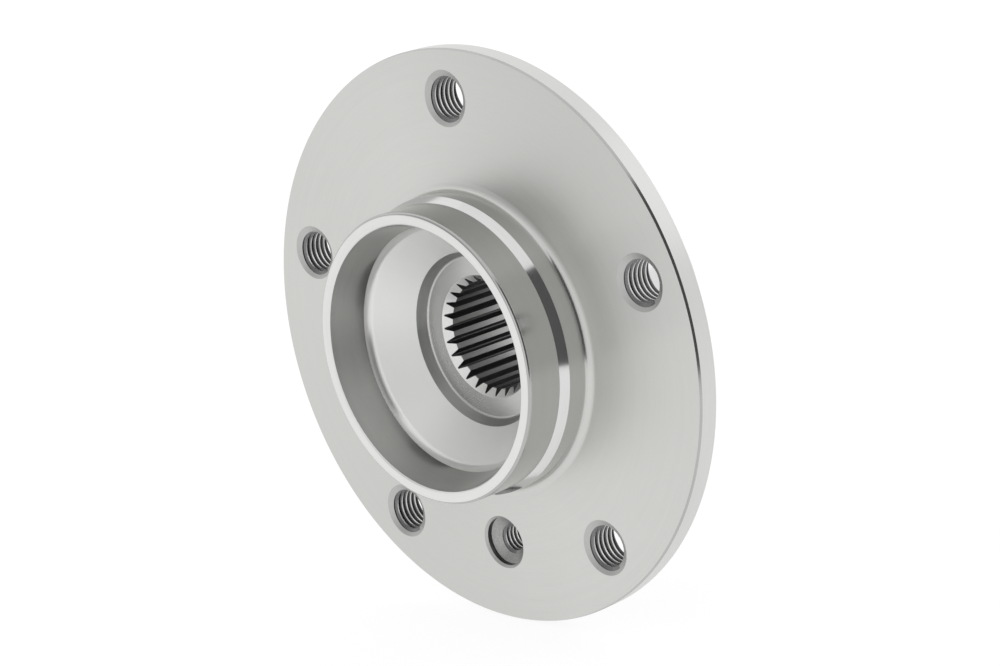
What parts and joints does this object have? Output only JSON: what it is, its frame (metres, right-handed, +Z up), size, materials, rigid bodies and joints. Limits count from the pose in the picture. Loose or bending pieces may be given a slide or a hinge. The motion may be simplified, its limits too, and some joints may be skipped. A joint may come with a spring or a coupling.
{
  "type": "wheel hub",
  "caption": "Driven wheel hub: flanged forging with a centring spigot, threaded wheel bolt holes and a splined bore, turning in a sealed angular-contact ball bearing.",
  "frame": {"origin": "centre of the wheel face, on the hub's axis, which is also the centre of the wheel bolt circle", "axes": "the hub's axis lies along Y, the wheel side faces -Y, +Z is up with one wheel bolt hole at the top"},
  "size_m": [0.1444, 0.0643, 0.1444],
  "materials": {
    "forged_steel": "satin, fine-turned",
    "bearing_steel": "ground",
    "ball_steel": "polished",
    "seal_steel": "pressed sheet",
    "cage_plastic": "moulded",
    "seal_rubber": "moulded"
  },
  "bodies": {
    "bearing_outer": {"bearing_outer_ring": "bearing_steel", "seal_case_outboard": "seal_steel", "seal_case_inboard": "seal_steel", "seal_lip_outboard": "seal_rubber", "seal_lip_inboard": "seal_rubber"},
    "hub": {"hub": "forged_steel", "inner_ring_outboard": "bearing_steel", "inner_ring_inboard": "bearing_steel", "slinger_outboard": "seal_steel", "slinger_inboard": "seal_steel"},
    "ball_row_outboard": {"ball_cage_outboard": "cage_plastic", "ball_outboard_1": "ball_steel", "ball_outboard_2": "ball_steel", "ball_outboard_3": "ball_steel", "ball_outboard_4": "ball_steel", "ball_outboard_5": "ball_steel", "ball_outboard_6": "ball_steel", "ball_outboard_7": "ball_steel", "ball_outboard_8": "ball_steel", "ball_outboard_9": "ball_steel", "ball_outboard_10": "ball_steel", "ball_outboard_11": "ball_steel", "ball_outboard_12": "ball_steel", "ball_outboard_13": "ball_steel", "ball_outboard_14": "ball_steel"},
    "ball_row_inboard": {"ball_cage_inboard": "cage_plastic", "ball_inboard_1": "ball_steel", "ball_inboard_2": "ball_steel", "ball_inboard_3": "ball_steel", "ball_inboard_4": "ball_steel", "ball_inboard_5": "ball_steel", "ball_inboard_6": "ball_steel", "ball_inboard_7": "ball_steel", "ball_inboard_8": "ball_steel", "ball_inboard_9": "ball_steel", "ball_inboard_10": "ball_steel", "ball_inboard_11": "ball_steel", "ball_inboard_12": "ball_steel", "ball_inboard_13": "ball_steel", "ball_inboard_14": "ball_steel"}
  },
  "joints": [
    {"name": "hub_spin", "type": "hinge", "parent": "bearing_outer", "child": "hub", "pos_m": [0, 0.0276, 0], "axis": [0, 1, 0], "continuous": true},
    {"name": "outboard_row_spin", "type": "hinge", "parent": "bearing_outer", "child": "ball_row_outboard", "pos_m": [0, 0.0199, 0], "axis": [0, 1, 0], "continuous": true},
    {"name": "inboard_row_spin", "type": "hinge", "parent": "bearing_outer", "child": "ball_row_inboard", "pos_m": [0, 0.0353, 0], "axis": [0, 1, 0], "continuous": true}
  ],
  "couplings": [
    {"joint": "outboard_row_spin", "follows": "hub_spin", "ratio": 0.422},
    {"joint": "inboard_row_spin", "follows": "hub_spin", "ratio": 0.422}
  ]
}
